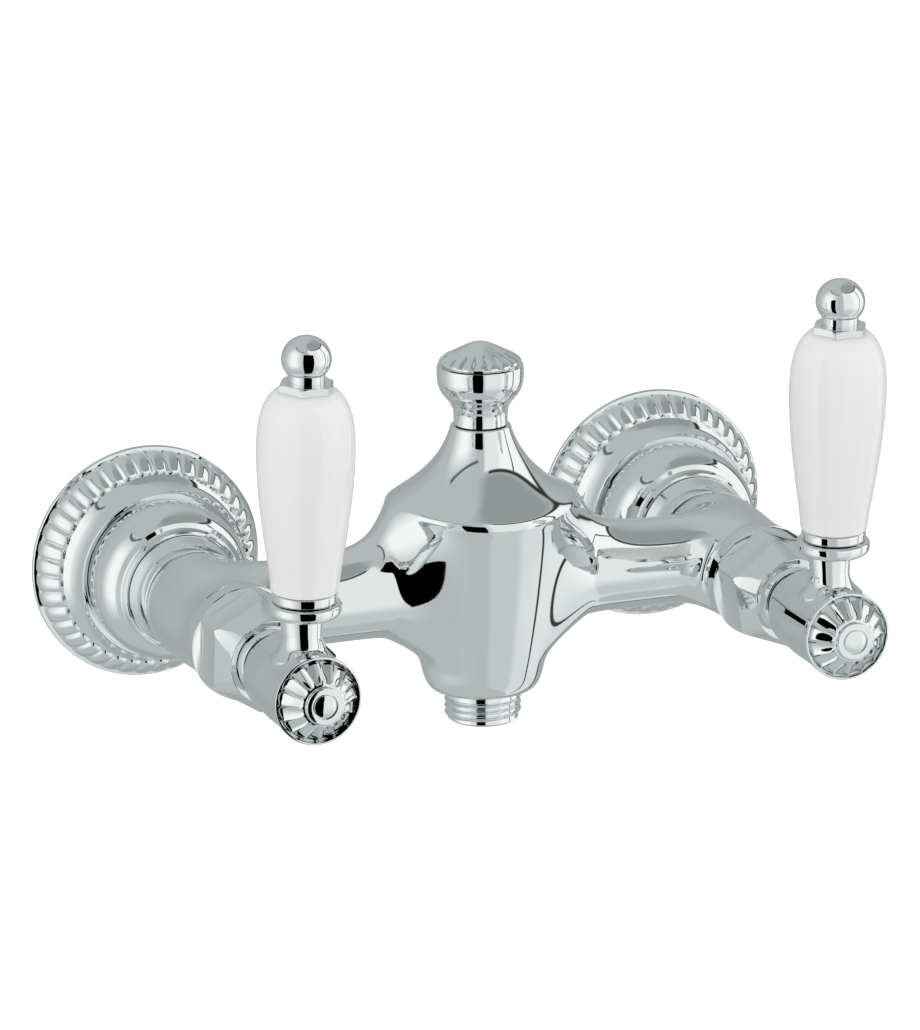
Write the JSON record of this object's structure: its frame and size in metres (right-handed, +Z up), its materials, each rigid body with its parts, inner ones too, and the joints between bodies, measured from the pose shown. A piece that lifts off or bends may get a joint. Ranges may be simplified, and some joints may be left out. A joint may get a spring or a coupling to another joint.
{
  "type": "wall-mounted shower mixer",
  "caption": "Wall-mounted shower mixer in chrome: bell-shaped column, upright lever handles with porcelain grips, fluted wall rosettes and a threaded hose outlet below.",
  "frame": {"origin": "on the wall plane, midway between the two inlet axes", "axes": "+X to the right seen from the front, +Y into the wall along the inlets, +Z up"},
  "size_m": [0.2154, 0.1616, 0.1332],
  "materials": {
    "chrome": "polished chrome plate on brass",
    "brass": "machined brass",
    "steel": "zinc plated steel",
    "rubber": "moulded rubber",
    "porcelain": "glazed white porcelain",
    "ceramic": "lapped ceramic"
  },
  "bodies": {
    "mixer": {"mixer_body": "chrome", "shower_outlet": "chrome", "top_finial": "chrome", "finial_gasket": "rubber", "finial_cap": "chrome", "left_rosette": "chrome", "left_wall_union": "brass", "left_union_nut": "chrome", "left_union_washer": "rubber", "left_inlet_tail": "brass", "left_seat_seal": "rubber", "left_fixed_disc": "ceramic", "left_bonnet": "chrome", "left_bonnet_gasket": "rubber", "right_rosette": "chrome", "right_wall_union": "brass", "right_union_nut": "chrome", "right_union_washer": "rubber", "right_inlet_tail": "brass", "right_seat_seal": "rubber", "right_fixed_disc": "ceramic", "right_bonnet": "chrome", "right_bonnet_gasket": "rubber"},
    "left_lever": {"left_turning_disc": "ceramic", "left_spindle": "brass", "left_spindle_o_ring": "rubber", "left_lever_hub": "chrome", "left_handle_screw": "steel", "left_front_cap": "chrome", "left_cap_button": "chrome", "left_lever_collar": "chrome", "left_lever_grip": "porcelain", "left_lever_rod": "steel", "left_grip_nut": "chrome", "left_lever_ball": "chrome"},
    "right_lever": {"right_turning_disc": "ceramic", "right_spindle": "brass", "right_spindle_o_ring": "rubber", "right_lever_hub": "chrome", "right_handle_screw": "steel", "right_front_cap": "chrome", "right_cap_button": "chrome", "right_lever_collar": "chrome", "right_lever_grip": "porcelain", "right_lever_rod": "steel", "right_grip_nut": "chrome", "right_lever_ball": "chrome"}
  },
  "joints": [
    {"name": "left_lever_turn", "type": "hinge", "parent": "mixer", "child": "left_lever", "pos_m": [-0.075, -0.11, 0], "axis": [0, -1, 0], "range_deg": [0, 90]},
    {"name": "right_lever_turn", "type": "hinge", "parent": "mixer", "child": "right_lever", "pos_m": [0.075, -0.11, 0], "axis": [0, 1, 0], "range_deg": [0, 90]}
  ]
}
